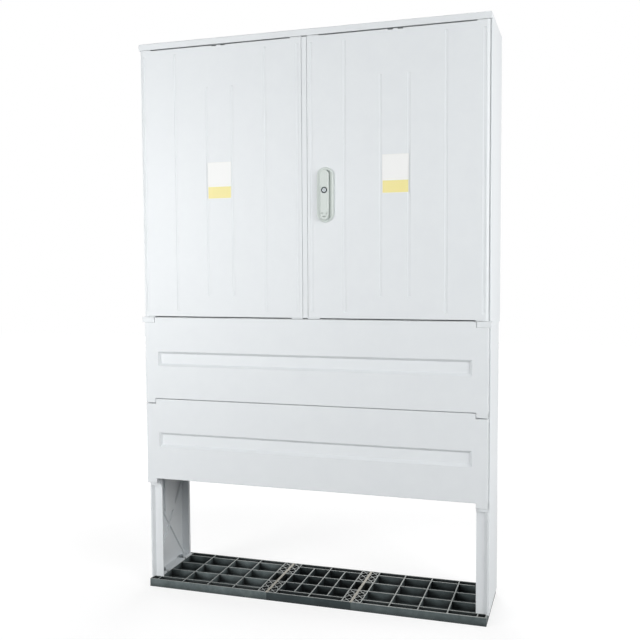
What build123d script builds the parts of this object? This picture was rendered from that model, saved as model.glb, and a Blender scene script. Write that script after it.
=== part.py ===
from build123d import *
import os
from math import atan2, degrees, hypot, pi, tan, radians

# Free-standing cable distribution cabinet: a two-door cabinet under a flat roof, on a plinth with
# removable covers and a base of three gratings. Millimetres, +Z up, the doors face -Y, and the
# origin is on the ground in the middle of the footprint.

# Overall sizes
width = 1115.0  # over the side walls
depth = 300.0  # door face to back wall
plinth_depth = 285.0  # front cover to rear cover
base_height = 26.0
plinth_height = 857.6
floor_height = 17.0
door_height = 854.0
roof_height = 20.0

# Cabinet walls
wall = 4.0  # roof, side walls and back wall
flange = 26.0  # how far the side walls' edges turn inwards
roof_round = 3.0  # rounding of the roof's upper edges
wall_round = 1.5  # rounding of the side walls' outer corners
back_fit = 0.5  # room between the back wall and the side walls
boss_radius = 8.0
hole_play = 0.3  # radial play of screws and bolts in their holes

# Doors
door_gap = 1.0  # over and under the corner pads
side_gap = 1.0  # hinge edge to side wall
strip_gap = 0.8  # closing strip to each door's face
strip_width = 16.0
skin = 3.5
tray_depth = 24.0
pad_height = 2.5  # corner pads stand above the rest of the door's edge
hinge_pad = 36.0
closing_pad = 36.0
knuckle = 9.0  # radius of the rounded hinge edge
wall_relief = 3.0  # side wall's front edge behind the hinge axis
stop_gap = 2.0  # door to stop flange
door_round = 1.6
pin_radius = 4.0
pin_in_door = 20.0
pin_in_frame = 11.0
pin_end_gap = 1.0
running_fit = 0.05

# Shallow grooves pressed into the doors and the back wall
groove_width = 9.0
groove_depth = 1.5
groove_taper = 45.0
groove_margin = 18.0  # long grooves stop short of the door's edges
short_groove_bottom = 67.0
short_groove_top = 128.0
groove_from_strip = 22.0
groove_from_hinge = 5.0
groove_places = (126.0, 430.0)
short_groove_places = (236.0, 321.0)
rib_margin = 2.0  # inside ribs are wider than the grooves on each side

# Notches in the doors' upper edge
notch_width = 17.0
notch_height = 3.0
notch_spacing = 30.0

# Floor frame
floor_bar_front = 40.0
floor_bar_side = 40.0
floor_bar_rear = 34.0
block_width = 38.0  # hinge blocks, measured inwards from the side wall's outer face
block_proud = 5.0
cover_play = 1.0

# Handle and lock
handle_x = 66.5
spindle_rise = 313.5  # from the door's lower edge
escutcheon_width = 53.0
escutcheon_length = 165.5
escutcheon_below = 20.0  # from the spindle down to the escutcheon's lower end
escutcheon_thickness = 6.0
escutcheon_round = 4.0
moat_width = 2.2
moat_depth = 2.5
lever_width = 26.0
lever_length = 137.0  # spindle to tip
lever_thickness = 9.0
lever_gap = 0.4
lever_round = 2.0
hub_rise = 6.5
shoulder_gap = 1.5
hub_web = 2.0  # behind the fork's slot
tongue_width = 10.0
tongue_play = 0.4
lever_pin_radius = 2.0
cylinder_radius = 9.5
cylinder_bezel = 1.0
cylinder_rise = 76.5  # spindle to lock cylinder
plug_radius = 6.0
key_slot_width = 1.6
key_slot_length = 8.0
key_slot_depth = 5.0
spindle_radius = 6.0
spindle_stub = 4.0

# Rack drive of the locking rods
gear_module = 2.0
gear_teeth = 12
gear_backlash = 0.9
gear_flank = 20.0
gear_addendum = 1.8
gear_dedendum = 2.5
rod_width = 9.5  # behind the rack's roots
rod_thickness = 6.0
rod_back_off = 4.5  # rods behind the door's skin
rod_withdrawn = 1.5  # rod ends below the door's edge at rest
rod_play = 0.4
slot_play = 1.5
lock_case_height = 90.0
lock_case_half = 30.0
lock_case_foot = 6.0
sheet = 2.0
guide_wall = 5.0
guide_height = 12.0
guide_far = 60.0  # outer guides, from the rods' ends
guide_near = 70.0  # inner guides, from the spindle

# Sliding bolts of the left door
bolt_bar_x = 40.0
bolt_bar_width = 12.0
bolt_bar_length = 160.0
bolt_knob_radius = 5.0
bolt_knob_length = 14.0
bolt_knob_place = 110.0
bolt_guide_near = 48.0  # guides, from the bolt's end
bolt_guide_far = 144.0

# Blank stickers on the doors
label_width = 80.0
label_height = 114.0
label_x = 281.0
label_rise = 432.5  # from the door's lower edge to the sticker's middle
label_thickness = 0.4

# Mounting plate
board_width = 960.0
board_height = 740.0
board_thickness = 3.0
board_stand_off = 38.0
board_hole_x = 600.0
board_hole_z = 400.0
board_hole_radius = 3.25
board_post_inset = 40.0
spacer_radius = 8.0

# Plinth walls
plinth_wall = 4.5
leg_setback = 24.0  # flanges behind the covers' faces
leg_width = 39.5  # front flange, from the outer face inwards
leg_rear_width = 30.0
leg_flange = 11.0
foot_width = 34.0  # bottom and top flanges, from the outer face inwards
leg_foot = 5.0
leg_band = 6.0
leg_recess = 8.0  # its outer flank slopes as far inwards
leg_ledge = 15.0  # from the lower cover's ears down to the recess
brace_width = 6.0
brace_height = 6.0
brace_bays = 3
panel_width = 72.0  # raised panel inside each wall
panel_proud = 8.0
panel_low = 190.0  # from the base up to the raised panel
slot_radius = 6.0

# Plinth covers
cover_inset = 4.0  # from the plinth walls' outer faces
cover_height = 265.6
cover_gap = 1.6
cover_skin = 4.0
cover_edge = 16.0  # turned-in edge behind the skin
cover_round = 2.0
cover_drop = 1.0  # upper cover below the floor frame's top
ear_width = 34.0
ear_height = 15.0
ear_play = 1.2
recess_top = 111.0  # from the cover's upper edge
recess_height = 48.0
recess_length = 1015.0
recess_depth = 8.0
recess_taper = 45.0
recess_backing = 4.0
cover_bolt_spread = 150.0

# Base gratings
base_length = 1105.0
base_depth = 280.0
base_setback = 2.5
joint_x = 139.0
grate_wall = 4.0
grate_rib = 3.5
grate_floor = 3.0  # closed bottom of the cells
row_narrow = 30.0
truss_width = 26.0
truss_web = 2.5
truss_bays = 3
bay_pitch = 89.0
middle_columns = 4
grate_boss = 24.0

# Cable rail
rail_height = 40.0
rail_depth = 20.0
rail_sheet = 2.5
rail_lip = 10.0
rail_drop = 140.0  # from the plinth's top down to the rail's middle
rail_gap = 1.0

# Fasteners
bolt_radius = 5.0
bolt_head = 8.5
bolt_head_height = 6.5
nut_height = 8.0
bolt_tail = 3.0
bolt_inset = 75.0  # from the covers' faces
base_bolt_length = 20.0  # inside the grating
roof_screw_length = 16.0
back_screw_inset = 70.0
back_screw_count = 4
small_radius = 3.0
small_head = 6.0
small_head_height = 2.5
socket_radius = 2.5  # hexagon sockets in the sunk screws
socket_depth = 1.8
cover_boss = 7.0
cover_screw_depth = 9.0
rail_bolt_radius = 4.0
rail_bolt_head = 6.5
rail_bolt_head_height = 5.0

# Levels and planes that follow from the sizes
handle_proud = escutcheon_thickness + lever_gap + lever_thickness + cylinder_bezel
front = -(depth - handle_proud) / 2
back = front + depth
plinth_back = front + plinth_depth
plinth_middle = front + plinth_depth / 2
z_plinth = base_height
z_floor = z_plinth + plinth_height
z_cabinet = z_floor + floor_height
z_door = z_cabinet + door_gap
z_door_top = z_door + door_height
z_roof = z_door_top + door_gap
z_top = z_roof + roof_height
z_tray = z_door + pad_height
z_tray_top = z_door_top - pad_height
spindle_z = z_door + spindle_rise
label_z = z_door + label_rise
rail_z = z_floor - rail_drop
half = width / 2
inner = half - wall

# Hinges and doors
door_edge = inner - side_gap
hinge_x = door_edge - knuckle
hinge_y = front + knuckle
closing_edge = strip_width / 2 + strip_gap
tray_back = front + tray_depth
stop_y = tray_back + stop_gap
skin_back = front + skin
door_middle = (closing_edge + door_edge) / 2

# Fastener places
bolt_x = inner - flange / 2
bolt_places = [
    (side * bolt_x, y) for side in (1, -1) for y in (front + bolt_inset, plinth_back - bolt_inset)
]
back_screw_step = (z_roof - z_cabinet - 2 * back_screw_inset) / (back_screw_count - 1)
back_screw_low = z_cabinet + back_screw_inset
back_screw_heights = [back_screw_low + index * back_screw_step for index in range(back_screw_count)]
bolt_hole = bolt_radius + hole_play
small_hole = small_radius + hole_play

# Locking rods
pitch_radius = gear_module * gear_teeth / 2
pitch = pi * gear_module
travel = pitch_radius * pi / 2
rod_y = skin_back + rod_back_off
rod_back = rod_y + rod_thickness
rack_root = pitch_radius + gear_dedendum
rod_near = rack_root
rod_far = rack_root + rod_width
rod_top = z_tray_top - rod_withdrawn
rod_bottom = z_tray + rod_withdrawn

# Plinth
leg_front = front + leg_setback
leg_back = plinth_back - leg_setback
leg_inner = half - leg_width
leg_rear_inner = half - leg_rear_width
foot_inner = half - foot_width
leg_face = half - plinth_wall
cover_top = z_cabinet - cover_drop
cover_step = cover_height + cover_gap
cover_half = half - cover_inset
ear_inner = cover_half - ear_width
cover_bolt_x = (leg_rear_inner + leg_face) / 2
rail_end = leg_face - brace_height - rail_gap
rail_bolt_x = rail_end - rail_bolt_head
rear_cover_top = z_floor - cover_drop
base_front = front + base_setback
base_back = base_front + base_depth

# Alignment of round bars that start at their own end
FROM_END = (Align.CENTER, Align.CENTER, Align.MIN)


def slab(x0, x1, y0, y1, z0, z1, mode=Mode.ADD):
    """A block between two opposite corners."""
    with Locations(((x0 + x1) / 2, (y0 + y1) / 2, (z0 + z1) / 2)):
        Box(abs(x1 - x0), abs(y1 - y0), abs(z1 - z0), mode=mode)


def post(x, y, z0, z1, radius, mode=Mode.ADD):
    """An upright round bar or hole."""
    with Locations((x, y, z0)):
        Cylinder(radius, z1 - z0, align=FROM_END, mode=mode)


def peg(x, z, y0, y1, radius, mode=Mode.ADD):
    """A round bar or hole that runs from front to back."""
    with Locations(Plane((x, y0, z), x_dir=(1, 0, 0), z_dir=(0, 1, 0))):
        Cylinder(radius, y1 - y0, align=FROM_END, mode=mode)


def upright(y):
    """A sketch plane that faces the front, with its own axes along X and Z."""
    return Plane((0, y, 0), x_dir=(1, 0, 0), z_dir=(0, -1, 0))


def hex_head(x, y, z0, z1, radius):
    """A hexagon head or nut that stands upright."""
    with BuildSketch(Plane.XY.offset(z0)) as outline:
        with Locations((x, y)):
            RegularPolygon(radius, 6)
    extrude(outline.sketch, amount=z1 - z0)


def hex_head_across(x, z, y0, y1, radius):
    """A hexagon head or nut that lies from front to back."""
    with BuildSketch(upright(y0)) as outline:
        with Locations((x, z)):
            RegularPolygon(radius, 6)
    extrude(outline.sketch, amount=y0 - y1)


def bar_slot(x, reach, low, high):
    """A slot that a locking rod or sliding bolt passes through."""
    slab(x - reach, x + reach, rod_y - slot_play, rod_back + slot_play, low, high, Mode.SUBTRACT)


def groove_list(low, high):
    """Each groove's place and ends on a panel between two heights."""
    grooves = []
    for x in (groove_from_strip, *groove_places, hinge_x - groove_from_hinge):
        grooves.append((x, low + groove_margin, high - groove_margin))
    for x in short_groove_places:
        grooves.append((x, low + short_groove_bottom, high - short_groove_top))
    return grooves


def press_grooves(face, grooves):
    """Cuts shallow grooves with sloping flanks into an upright face."""
    for x, low, high in grooves:
        with BuildSketch(face) as outline:
            with Locations((x, (low + high) / 2)):
                RectangleRounded(groove_width, high - low, groove_width / 3)
        extrude(outline.sketch, amount=-groove_depth, taper=groove_taper, mode=Mode.SUBTRACT)


# Roof: a flat cap with a ledge behind the front lip, hinge blocks and screw bosses
with BuildPart() as roof:
    slab(-half, half, front, back, z_roof, z_top)
    fillet(roof.faces().sort_by(Axis.Z)[-1].edges(), roof_round)
    slab(-inner, inner, front + wall, back - wall, z_roof, z_top - wall, Mode.SUBTRACT)
    slab(-inner, inner, front + wall, stop_y + wall, z_roof, z_roof + wall)
    for side in (1, -1):
        slab(side * (inner - flange), side * inner, front + wall, stop_y + wall, z_roof, z_top - wall)
    for x, y in bolt_places:
        post(x, y, z_roof, z_top - wall, boss_radius)
        post(x, y, z_roof, z_roof + roof_screw_length - wall, small_hole, Mode.SUBTRACT)
    for side in (1, -1):
        pin_top = z_roof + pin_in_frame + pin_end_gap
        post(side * hinge_x, hinge_y, z_roof, pin_top, pin_radius + running_fit, Mode.SUBTRACT)
    upper_slot_x = handle_x - (rod_near + rod_far) / 2
    for x, size in ((upper_slot_x, rod_width), (-bolt_bar_x, bolt_bar_width)):
        reach = size / 2 + slot_play
        bar_slot(x, reach, z_roof, z_roof + wall)

# Right side wall: an outer sheet with stop, rear, upper and lower flanges
with BuildPart() as right_side_wall:
    slab(inner, half, hinge_y + wall_relief, back, z_cabinet, z_roof)
    fillet(right_side_wall.edges().filter_by(Axis.Z).group_by(Axis.X)[-1], wall_round)
    slab(inner - flange, inner, stop_y, back - wall, z_cabinet, z_roof)
    slab(
        inner - flange, inner, stop_y + wall, back - 2 * wall, z_cabinet + wall, z_roof - wall, Mode.SUBTRACT
    )
    for x, y in bolt_places:
        post(x, y, z_roof - wall, z_roof, small_hole, Mode.SUBTRACT)
        post(x, y, z_cabinet, z_cabinet + wall, bolt_hole, Mode.SUBTRACT)
    for z in back_screw_heights:
        peg(bolt_x, z, back - 2 * wall, back - wall, small_hole, Mode.SUBTRACT)

with BuildPart() as left_side_wall:
    mirror(right_side_wall.part, about=Plane.YZ)

# Back wall: a ribbed sheet between the side walls, screwed to their rear flanges
back_face = Plane((0, back, 0), x_dir=(-1, 0, 0), z_dir=(0, 1, 0))
with BuildPart() as back_wall:
    slab(-(inner - back_fit), inner - back_fit, back - wall, back, z_cabinet, z_roof)
    back_grooves = groove_list(z_cabinet, z_roof)
    for side in (1, -1):
        press_grooves(back_face, [(side * x, low, high) for x, low, high in back_grooves])
    for side in (1, -1):
        for z in back_screw_heights:
            with Locations(Plane((side * bolt_x, back, z), x_dir=(1, 0, 0), z_dir=(0, 1, 0))):
                CounterSinkHole(small_hole, small_head, depth=wall)

with BuildPart() as back_wall_screws:
    for side in (1, -1):
        for z in back_screw_heights:
            peg(side * bolt_x, z, back - 3 * wall, back, small_radius)
            with Locations(Plane((side * bolt_x, back, z), x_dir=(1, 0, 0), z_dir=(0, -1, 0))):
                rise = small_head - small_hole
                Cone(small_head - hole_play, small_radius, rise, align=FROM_END)
    with BuildSketch(back_face) as sockets:
        with Locations([(side * bolt_x, z) for side in (1, -1) for z in back_screw_heights]):
            RegularPolygon(socket_radius, 6)
    extrude(sockets.sketch, amount=-socket_depth, mode=Mode.SUBTRACT)

# Floor frame: an open ring under the cabinet, with a hinge block at each front corner
with BuildPart() as floor_frame:
    slab(-half, half, front + cover_skin + cover_play, back, z_floor, z_cabinet)
    opening_x = half - floor_bar_side
    opening_front = front + floor_bar_front
    slab(
        -opening_x, opening_x, opening_front, back - floor_bar_rear, z_floor, z_cabinet, Mode.SUBTRACT
    )
    for side in (1, -1):
        block_inner = side * (half - block_width)
        slab(block_inner, side * (half + block_proud), front, opening_front, z_floor, z_cabinet)
    fillet(floor_frame.edges().filter_by(Axis.Z).group_by(Axis.Y)[0], wall_round)
    for side in (1, -1):
        pin_low = z_cabinet - pin_in_frame - pin_end_gap
        post(side * hinge_x, hinge_y, pin_low, z_cabinet, pin_radius + running_fit, Mode.SUBTRACT)
    for x, y in bolt_places:
        post(x, y, z_floor, z_cabinet, bolt_hole, Mode.SUBTRACT)
    lower_slot_x = handle_x + (rod_near + rod_far) / 2
    for x, size in ((lower_slot_x, rod_width), (-bolt_bar_x, bolt_bar_width)):
        reach = size / 2 + slot_play
        bar_slot(x, reach, z_floor, z_cabinet)

# Door leaf: a tray with a round hinge edge, corner pads and pressed grooves with ribs behind them
with BuildPart() as leaf:
    slab(closing_edge, hinge_x, front, tray_back, z_tray, z_tray_top)
    fillet(leaf.faces().sort_by(Axis.Y)[0].edges().sort_by(Axis.X)[:-1], door_round)
    slab(
        closing_edge + skin,
        hinge_x - knuckle,
        skin_back,
        tray_back,
        z_tray + skin,
        z_tray_top - skin,
        Mode.SUBTRACT,
    )
    slab(hinge_x - knuckle + skin, hinge_x, hinge_y, tray_back, z_tray, z_tray_top, Mode.SUBTRACT)
    for low, high in ((z_door, z_tray), (z_tray_top, z_door_top)):
        slab(hinge_x - hinge_pad + knuckle, hinge_x, front + door_round, front + 2 * knuckle, low, high)
        slab(closing_edge, closing_edge + closing_pad, front + door_round, front + 2 * knuckle, low, high)
    post(hinge_x, hinge_y, z_door, z_door_top, knuckle)
    grooves = groove_list(z_tray, z_tray_top)
    press_grooves(upright(front), grooves)
    for x, low, high in grooves[1:3] + grooves[4:]:
        reach = groove_width / 2 + rib_margin
        slab(x - reach, x + reach, skin_back, skin_back + groove_depth, low, high)
    for x in (door_middle - notch_spacing / 2, door_middle + notch_spacing / 2):
        slab(
            x - notch_width / 2,
            x + notch_width / 2,
            front,
            tray_back,
            z_tray_top - notch_height,
            z_tray_top,
            Mode.SUBTRACT,
        )
    pin_hole = pin_radius + running_fit
    post(hinge_x, hinge_y, z_door, z_door + pin_in_door, pin_hole, Mode.SUBTRACT)
    post(hinge_x, hinge_y, z_door_top - pin_in_door, z_door_top, pin_hole, Mode.SUBTRACT)

# Right door: the leaf with holes for the spindle, the handle's screws and the rods
escutcheon_low = spindle_z - escutcheon_below
escutcheon_middle = escutcheon_low + escutcheon_length / 2
handle_screw_heights = (
    spindle_z + lock_case_height / 2 + boss_radius,
    escutcheon_low + escutcheon_length - escutcheon_width / 2,
)
with BuildPart() as right_door_panel:
    add(leaf.part)
    peg(handle_x, spindle_z, front, skin_back, spindle_radius + slot_play, Mode.SUBTRACT)
    for z in handle_screw_heights:
        peg(handle_x, z, front, skin_back, small_hole, Mode.SUBTRACT)
    for x, low, high in (
        (upper_slot_x, z_tray_top - skin, z_door_top),
        (lower_slot_x, z_door, z_tray + skin),
    ):
        reach = rod_width / 2 + slot_play
        bar_slot(x, reach, low, high)

# Left door: the mirrored leaf with holes for its sliding bolts
with BuildPart() as left_door_panel:
    mirror(leaf.part, about=Plane.YZ)
    reach = bolt_bar_width / 2 + slot_play
    for low, high in ((z_tray_top - skin, z_door_top), (z_door, z_tray + skin)):
        bar_slot(-bolt_bar_x, reach, low, high)

# Closing strip: an angle on the left door's edge that covers the joint between the leaves
with BuildPart() as closing_strip:
    slab(-strip_width / 2, strip_width / 2, front, skin_back, z_tray, z_tray_top)
    slab(-closing_edge, -closing_edge + skin, skin_back, tray_back, z_tray, z_tray_top)
    fillet(closing_strip.edges().filter_by(Axis.Z).group_by(Axis.Y)[0], door_round)

# Hinge pins: two for each door, held in the leaf and turning in the roof and the floor frame
with BuildPart() as right_hinge_pins:
    post(hinge_x, hinge_y, z_door - door_gap - pin_in_frame, z_door + pin_in_door, pin_radius)
    post(hinge_x, hinge_y, z_door_top - pin_in_door, z_roof + pin_in_frame, pin_radius)

with BuildPart() as left_hinge_pins:
    mirror(right_hinge_pins.part, about=Plane.YZ)

# Escutcheon: a long oval plate with a moat round the lever
lever_back = front - escutcheon_thickness - lever_gap
lever_face = lever_back - lever_thickness
tongue_back = lever_back - hub_web - tongue_play
tongue_radius = (tongue_back - lever_face) / 2
lever_axis_y = tongue_back - tongue_radius
escutcheon_face = front - escutcheon_thickness
moat_length = lever_length + lever_width / 2 + 2 * moat_width
with BuildPart() as handle_escutcheon:
    with BuildSketch(upright(front)):
        with Locations((handle_x, escutcheon_middle)):
            SlotOverall(escutcheon_length, escutcheon_width, rotation=90)
    extrude(amount=escutcheon_thickness)
    fillet(handle_escutcheon.faces().sort_by(Axis.Y)[0].edges(), escutcheon_round)
    with BuildSketch(upright(escutcheon_face)):
        with Locations((handle_x, spindle_z + (lever_length - lever_width / 2) / 2)):
            SlotOverall(moat_length, lever_width + 2 * moat_width, rotation=90)
            SlotOverall(moat_length - 2 * moat_width, lever_width, rotation=90, mode=Mode.SUBTRACT)
    extrude(amount=-moat_depth, mode=Mode.SUBTRACT)
    peg(handle_x, spindle_z, escutcheon_face, front, spindle_radius + running_fit, Mode.SUBTRACT)
    for z in handle_screw_heights:
        peg(handle_x, z, front - escutcheon_thickness / 2, front, small_radius + running_fit, Mode.SUBTRACT)

with BuildPart() as handle_screws:
    for z in handle_screw_heights:
        peg(handle_x, z, front - escutcheon_thickness / 2, skin_back, small_radius)
        peg(handle_x, z, skin_back, skin_back + small_head_height, small_head)

# Lever hub: a fork on the spindle that carries the lever's pin
pinion_y = rod_y
case_face = rod_back + rod_back_off
case_back = case_face + sheet
with BuildPart() as lever_hub:
    with BuildSketch(upright(lever_back)):
        with Locations((handle_x, spindle_z)):
            Circle(lever_width / 2)
        with Locations((handle_x, spindle_z + hub_rise / 2)):
            Rectangle(lever_width, hub_rise)
        with Locations((handle_x, spindle_z + lever_width / 2 + hub_rise)):
            Rectangle(lever_width, lever_width, mode=Mode.SUBTRACT)
    extrude(amount=lever_thickness)
    fillet(lever_hub.faces().sort_by(Axis.Y)[0].edges().sort_by(Axis.Z)[:-1], lever_round)
    slot_reach = tongue_width / 2 + tongue_play
    slab(
        handle_x - slot_reach,
        handle_x + slot_reach,
        lever_face,
        lever_back - hub_web,
        spindle_z - tongue_radius - shoulder_gap,
        spindle_z + hub_rise,
        Mode.SUBTRACT,
    )
    with Locations(Plane((handle_x - lever_width / 2, lever_axis_y, spindle_z), z_dir=(1, 0, 0))):
        Cylinder(lever_pin_radius + running_fit, lever_width, align=FROM_END, mode=Mode.SUBTRACT)

# Spindle: the round bar behind the hub, stepped down to a stub in the lock case
with BuildPart() as lock_spindle:
    peg(handle_x, spindle_z, lever_back, rod_back, spindle_radius)
    peg(handle_x, spindle_z, rod_back, case_back, spindle_stub)

with BuildPart() as lever_pin:
    with Locations(Plane((handle_x - lever_width / 2, lever_axis_y, spindle_z), z_dir=(1, 0, 0))):
        Cylinder(lever_pin_radius, lever_width, align=FROM_END)

# Lever: a long bar with a round tip and a tongue in the hub's fork
shoulder_z = spindle_z + hub_rise + shoulder_gap
tip_z = spindle_z + lever_length
cylinder_z = spindle_z + cylinder_rise
with BuildPart() as lever:
    with BuildSketch(upright(lever_back)):
        with Locations((handle_x, tip_z - lever_width / 2)):
            Circle(lever_width / 2)
        with Locations((handle_x, (shoulder_z + tip_z - lever_width / 2) / 2)):
            Rectangle(lever_width, tip_z - lever_width / 2 - shoulder_z)
    extrude(amount=lever_thickness)
    fillet(lever.faces().sort_by(Axis.Y)[0].edges(), lever_round)
    tongue_reach = tongue_width / 2
    tongue_top = shoulder_z + lever_round
    slab(handle_x - tongue_reach, handle_x + tongue_reach, lever_face, tongue_back, spindle_z, tongue_top)
    with Locations(Plane((handle_x - tongue_reach, lever_axis_y, spindle_z), z_dir=(1, 0, 0))):
        Cylinder(tongue_radius, tongue_width, align=FROM_END)
        Cylinder(lever_pin_radius + running_fit, tongue_width, align=FROM_END, mode=Mode.SUBTRACT)
    peg(handle_x, cylinder_z, lever_face, lever_back, cylinder_radius + running_fit, Mode.SUBTRACT)

# Lock cylinder in the lever, and the plug that the key turns
plug_depth = lever_thickness / 2 + cylinder_bezel
with BuildPart() as lock_cylinder:
    peg(handle_x, cylinder_z, lever_face - cylinder_bezel, lever_back, cylinder_radius)
    fillet(lock_cylinder.faces().sort_by(Axis.Y)[0].edges(), cylinder_bezel / 2)
    plug_back = lever_face - cylinder_bezel + plug_depth
    plug_hole = plug_radius + running_fit
    peg(handle_x, cylinder_z, lever_face - cylinder_bezel, plug_back, plug_hole, Mode.SUBTRACT)

with BuildPart() as lock_plug:
    peg(handle_x, cylinder_z, lever_face - cylinder_bezel, plug_back, plug_radius)
    slab(
        handle_x - key_slot_width / 2,
        handle_x + key_slot_width / 2,
        lever_face - cylinder_bezel,
        lever_face - cylinder_bezel + key_slot_depth,
        cylinder_z - key_slot_length / 2,
        cylinder_z + key_slot_length / 2,
        Mode.SUBTRACT,
    )

# Pinion on the spindle, with plain straight-flanked teeth
tooth = pitch / 2 - gear_backlash
slope = tan(radians(gear_flank))
with BuildPart() as pinion:
    with BuildSketch(upright(pinion_y)):
        with Locations((handle_x, spindle_z)):
            Circle(pitch_radius - gear_dedendum)
            with PolarLocations(0, gear_teeth):
                root = tooth / 2 + gear_dedendum * slope
                tip = tooth / 2 - gear_addendum * slope
                Polygon(
                    (0, -root),
                    (pitch_radius - gear_dedendum, -root),
                    (pitch_radius + gear_addendum, -tip),
                    (pitch_radius + gear_addendum, tip),
                    (pitch_radius - gear_dedendum, root),
                    (0, root),
                    align=None,
                )
            Circle(spindle_radius + running_fit, mode=Mode.SUBTRACT)
    extrude(amount=-rod_thickness)


def locking_rod(side, low, high, rack_low, rack_high):
    """A flat rod beside the pinion, with a short rack on the edge that faces it."""
    with BuildPart() as rod:
        slab(handle_x + side * rod_near, handle_x + side * rod_far, rod_y, rod_back, low, high)
        with BuildSketch(upright(rod_y)) as teeth:
            for index in range(rack_low, rack_high):
                z = spindle_z + (index + 0.5) * pitch
                root = tooth / 2 + gear_dedendum * slope
                tip = tooth / 2 - gear_addendum * slope
                root_x = handle_x + side * rod_near
                tip_x = handle_x + side * (pitch_radius - gear_addendum)
                lower_flank = ((root_x, z - root), (tip_x, z - tip))
                upper_flank = ((tip_x, z + tip), (root_x, z + root))
                Polygon(*lower_flank, *upper_flank, align=None)
        extrude(teeth.sketch, amount=-rod_thickness)
    return rod


# Upper and lower locking rods, drawn back from the frame at rest
rack_short = 2
rack_long = 2 + int(travel / pitch)
rod_tail = (rack_long + 1) * pitch
upper_rod = locking_rod(-1, spindle_z - rod_tail, rod_top, -rack_long, rack_short)
lower_rod = locking_rod(1, rod_bottom, spindle_z + rod_tail, -rack_short, rack_long)

# Lock case: a folded sheet over the pinion and racks, open at its ends
case_low = spindle_z - lock_case_height / 2
case_high = spindle_z + lock_case_height / 2
with BuildPart() as lock_case:
    slab(
        handle_x - lock_case_half, handle_x + lock_case_half, skin_back, case_back, case_low, case_high
    )
    case_inner = lock_case_half - sheet
    slab(
        handle_x - case_inner, handle_x + case_inner, skin_back, case_face, case_low, case_high, Mode.SUBTRACT
    )
    for side in (1, -1):
        foot_end = side * (lock_case_half + lock_case_foot)
        foot_start = handle_x + side * case_inner
        slab(foot_start, handle_x + foot_end, skin_back, skin_back + sheet, case_low, case_high)
    peg(handle_x, spindle_z, case_face, case_back, spindle_stub + running_fit, Mode.SUBTRACT)


def bar_guide(x, size, z):
    """A block on the door's inner face that a flat bar slides through."""
    reach = size / 2 + rod_play
    slab(
        x - reach - guide_wall,
        x + reach + guide_wall,
        skin_back,
        rod_back + rod_play + guide_wall,
        z - guide_height / 2,
        z + guide_height / 2,
    )
    slab(
        x - reach,
        x + reach,
        rod_y - rod_play,
        rod_back + rod_play,
        z - guide_height / 2,
        z + guide_height / 2,
        Mode.SUBTRACT,
    )


with BuildPart() as rod_guides:
    for z in (rod_top - guide_far, case_high + guide_near):
        bar_guide(upper_slot_x, rod_width, z)
    for z in (rod_bottom + guide_far, case_low - guide_near):
        bar_guide(lower_slot_x, rod_width, z)


def sliding_bolt(end, inward):
    """A flat bolt with a finger knob, drawn back from the frame at rest."""
    with BuildPart() as bolt:
        low, high = sorted((end, end + inward * bolt_bar_length))
        reach = bolt_bar_width / 2
        slab(-bolt_bar_x - reach, -bolt_bar_x + reach, rod_y, rod_back, low, high)
        knob_z = end + inward * bolt_knob_place
        peg(-bolt_bar_x, knob_z, rod_back, rod_back + bolt_knob_length, bolt_knob_radius)
        fillet(bolt.faces().sort_by(Axis.Y)[-1].edges(), bolt_knob_radius / 4)
    return bolt


left_upper_bolt = sliding_bolt(rod_top, -1)
left_lower_bolt = sliding_bolt(rod_bottom, 1)

with BuildPart() as left_bolt_guides:
    for place in (bolt_guide_near, bolt_guide_far):
        bar_guide(-bolt_bar_x, bolt_bar_width, rod_top - place)
        bar_guide(-bolt_bar_x, bolt_bar_width, rod_bottom + place)

# Blank stickers on the doors' faces
with BuildPart() as right_door_label:
    slab(
        label_x - label_width / 2,
        label_x + label_width / 2,
        front - label_thickness,
        front,
        label_z - label_height / 2,
        label_z + label_height / 2,
    )

with BuildPart() as left_door_label:
    mirror(right_door_label.part, about=Plane.YZ)

# Mounting plate on four spacers in front of the back wall
board_back = back - wall - board_stand_off
board_face = board_back - board_thickness
board_middle = (z_cabinet + z_roof) / 2
board_posts = [
    (side * (board_width / 2 - board_post_inset), board_middle + up * (board_height / 2 - board_post_inset))
    for side in (1, -1)
    for up in (1, -1)
]
with BuildPart() as mounting_plate:
    slab(
        -board_width / 2,
        board_width / 2,
        board_face,
        board_back,
        board_middle - board_height / 2,
        board_middle + board_height / 2,
    )
    for x, z in board_posts:
        peg(x, z, board_face, board_back, small_hole, Mode.SUBTRACT)
    for x in (-board_hole_x / 2, board_hole_x / 2):
        for z in (board_middle - board_hole_z / 2, board_middle + board_hole_z / 2):
            peg(x, z, board_face, board_back, board_hole_radius, Mode.SUBTRACT)

with BuildPart() as plate_spacers:
    for x, z in board_posts:
        peg(x, z, board_back, back - wall, spacer_radius)
        peg(x, z, board_back, board_back + board_stand_off / 2, small_radius + running_fit, Mode.SUBTRACT)

with BuildPart() as plate_screws:
    for x, z in board_posts:
        peg(x, z, board_face - small_head_height, board_face, small_head)
        peg(x, z, board_face, board_back + board_stand_off / 2, small_radius)


# Heights of the bolts that hold each cover to the plinth walls
def cover_bolt_heights(top):
    """The two bolt heights of the cover whose upper edge is at the given height."""
    middle = top - cover_height / 2
    return (middle - cover_bolt_spread / 2, middle + cover_bolt_spread / 2)


front_tops = (cover_top, cover_top - cover_step)
rear_tops = (rear_cover_top, rear_cover_top - cover_step)
ledge_z = cover_top - cover_step - cover_height - ear_height - leg_ledge

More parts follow.
